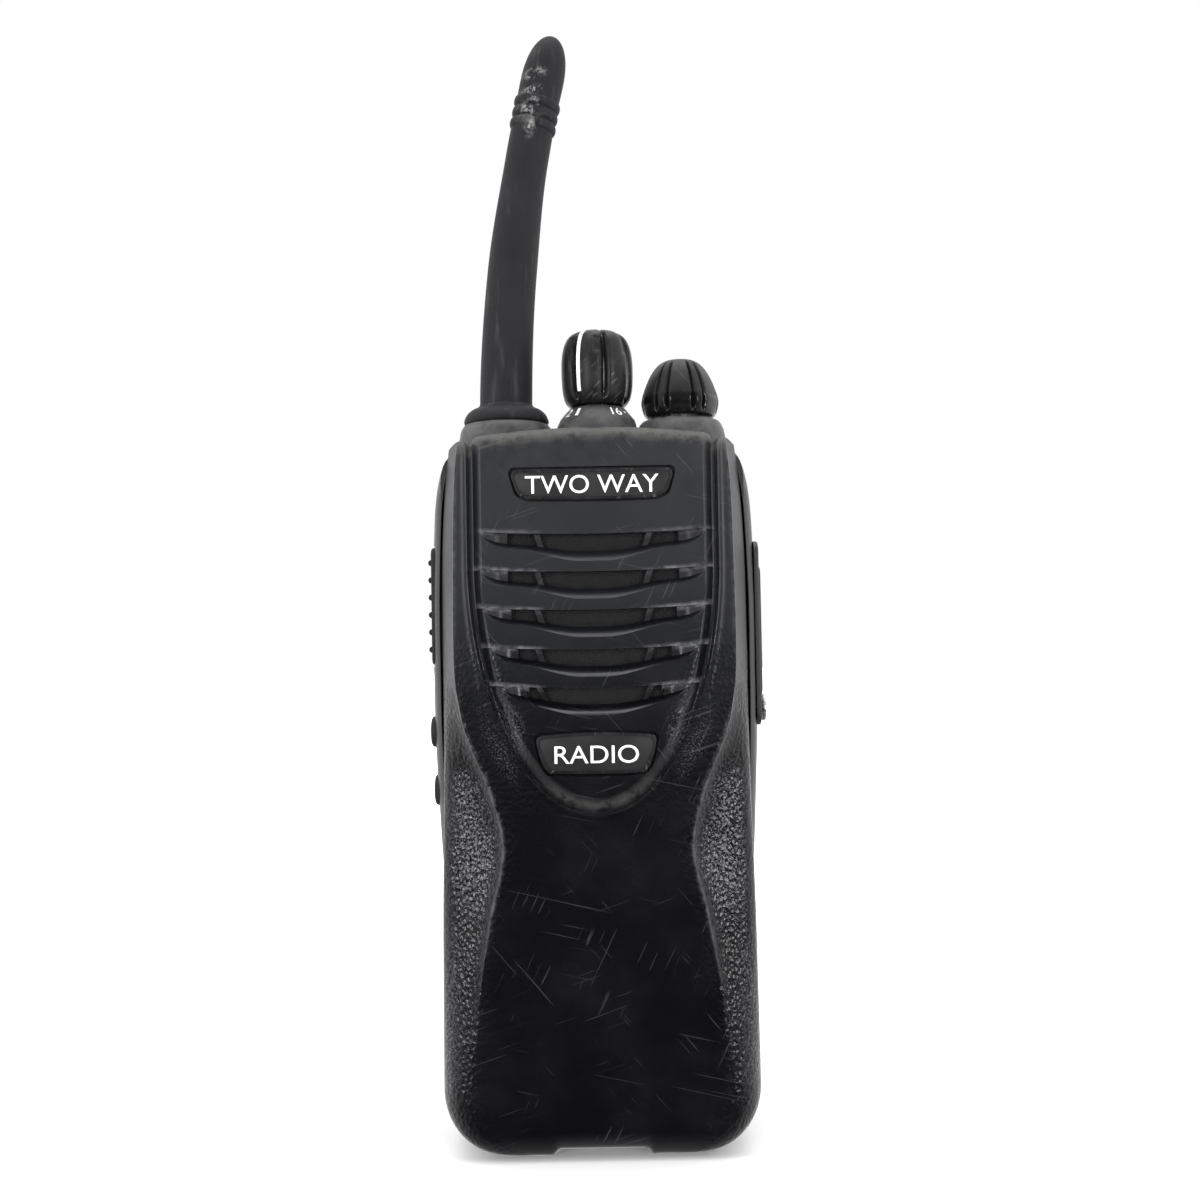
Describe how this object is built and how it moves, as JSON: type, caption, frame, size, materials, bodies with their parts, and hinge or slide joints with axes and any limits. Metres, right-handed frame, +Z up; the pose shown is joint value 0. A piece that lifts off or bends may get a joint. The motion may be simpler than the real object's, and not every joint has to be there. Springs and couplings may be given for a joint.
{
  "type": "two way radio",
  "caption": "Hand-held two way radio with a slotted speaker panel, knobs and a bent rubber antenna on top, side keys, a clip-on battery pack and a sprung belt clip.",
  "frame": {"origin": "on the surface the radio stands on, under the middle of the whole object", "axes": "+Z up to the antenna, -Y towards the speaker side, +X to the right as seen from the speaker side"},
  "size_m": [0.0573, 0.0414, 0.1906],
  "materials": {
    "case_black": "moulded black plastic, worn satin, leather-grained in the grip",
    "key_rubber": "matt black silicone rubber",
    "antenna_rubber": "scuffed matt black rubber",
    "knob_black": "glossy black plastic",
    "badge_black": "satin black plastic plate",
    "bare_metal": "plain steel",
    "brass": "turned brass",
    "board_green": "solder-masked glass laminate",
    "cell_sleeve": "shrink sleeve",
    "lens_clear": "clear moulded light pipe",
    "cloth_black": "woven black cloth",
    "paper_cone": "pressed paper"
  },
  "bodies": {
    "radio": {"accessory_jack": "badge_black", "antenna_collar": "case_black", "antenna_jack": "brass", "case_screw_1": "bare_metal", "case_screw_2": "bare_metal", "case_screw_3": "bare_metal", "case_screw_4": "bare_metal", "channel_dial": "case_black", "channel_switch": "bare_metal", "chassis_plate": "bare_metal", "contact_block": "brass", "front_case": "case_black", "grille_cloth": "cloth_black", "led_lens": "lens_clear", "lower_badge": "badge_black", "main_board": "board_green", "microphone": "bare_metal", "rear_case": "case_black", "shield_can_lower": "bare_metal", "shield_can_upper": "bare_metal", "side_board": "board_green", "speaker_cone": "paper_cone", "speaker_frame": "bare_metal", "speaker_magnet": "bare_metal", "top_badge": "badge_black", "volume_collar": "case_black", "volume_switch": "bare_metal"},
    "channel_control": {"channel_knob": "knob_black", "channel_shaft": "bare_metal"},
    "volume_control": {"volume_knob": "knob_black", "volume_shaft": "bare_metal"},
    "antenna_thread": {"antenna_seal": "key_rubber"},
    "antenna": {"antenna_rod": "antenna_rubber", "antenna_stud": "brass", "antenna_coil": "brass"},
    "ptt_key": {"ptt_button": "key_rubber"},
    "upper_key": {"side_key_upper": "key_rubber"},
    "lower_key": {"side_key_lower": "key_rubber"},
    "jack_cover": {"accessory_cover": "case_black"},
    "cover_screw": {"accessory_screw": "bare_metal"},
    "pack_latch": {"battery_latch": "case_black"},
    "latch_catch": {"safety_catch": "key_rubber"},
    "battery_pack": {"battery_cover": "case_black", "battery_lid": "case_black", "battery_contact_minus": "brass", "battery_contact_plus": "brass", "battery_cell_1": "cell_sleeve", "battery_cell_2": "cell_sleeve", "battery_cell_3": "cell_sleeve", "battery_cell_4": "cell_sleeve", "battery_cell_5": "cell_sleeve", "battery_cell_6": "cell_sleeve", "clip_bracket": "case_black", "clip_pin": "bare_metal", "clip_spring": "bare_metal", "clip_screw_1": "bare_metal", "clip_screw_2": "bare_metal"},
    "belt_clip": {"clip_arm": "case_black"}
  },
  "joints": [
    {"name": "channel_turn", "type": "hinge", "parent": "radio", "child": "channel_control", "pos_m": [0.0011, -0.005, 0.117], "axis": [0, 0, 1], "range_deg": [-292.5, 0]},
    {"name": "volume_turn", "type": "hinge", "parent": "radio", "child": "volume_control", "pos_m": [0.0157, -0.005, 0.117], "axis": [0, 0, 1], "range_deg": [-280, 0]},
    {"name": "antenna_lift", "type": "slide", "parent": "radio", "child": "antenna_thread", "axis": [0, 0, 1], "range_m": [0, 0.00317]},
    {"name": "antenna_unscrew", "type": "hinge", "parent": "antenna_thread", "child": "antenna", "pos_m": [-0.0149, -0.005, 0.117], "axis": [0, 0, 1], "range_deg": [0, 1620]},
    {"name": "ptt_press", "type": "slide", "parent": "radio", "child": "ptt_key", "axis": [1, 0, 0], "range_m": [0, 0.001], "stiffness_N_per_m": 2500, "springref_m": -0.0004},
    {"name": "upper_key_press", "type": "slide", "parent": "radio", "child": "upper_key", "axis": [1, 0, 0], "range_m": [0, 0.0007], "stiffness_N_per_m": 2000, "springref_m": -0.0004},
    {"name": "lower_key_press", "type": "slide", "parent": "radio", "child": "lower_key", "axis": [1, 0, 0], "range_m": [0, 0.0007], "stiffness_N_per_m": 2000, "springref_m": -0.0004},
    {"name": "jack_cover_hinge", "type": "hinge", "parent": "radio", "child": "jack_cover", "pos_m": [0.0281, -0.0097, 0.1012], "axis": [0, -1, 0], "range_deg": [0, 100]},
    {"name": "cover_screw_turn", "type": "hinge", "parent": "jack_cover", "child": "cover_screw", "pos_m": [0.027, -0.0097, 0.073], "axis": [1, 0, 0], "continuous": true},
    {"name": "latch_push", "type": "slide", "parent": "radio", "child": "pack_latch", "axis": [0, -1, 0], "range_m": [0, 0.0015], "stiffness_N_per_m": 1500, "springref_m": -0.0005},
    {"name": "catch_slide", "type": "slide", "parent": "radio", "child": "latch_catch", "axis": [1, 0, 0], "range_m": [0, 0.0025]},
    {"name": "pack_swing", "type": "hinge", "parent": "radio", "child": "battery_pack", "pos_m": [0, 0.011, 0.0966], "axis": [1, 0, 0], "range_deg": [0, 25]},
    {"name": "clip_open", "type": "hinge", "parent": "battery_pack", "child": "belt_clip", "pos_m": [0, 0.0166, 0.087], "axis": [1, 0, 0], "range_deg": [0, 20], "stiffness_Nm_per_rad": 0.3, "springref_deg": -11.46}
  ],
  "couplings": [
    {"joint": "antenna_unscrew", "follows": "antenna_lift", "rad_per_m": 8905.3}
  ]
}
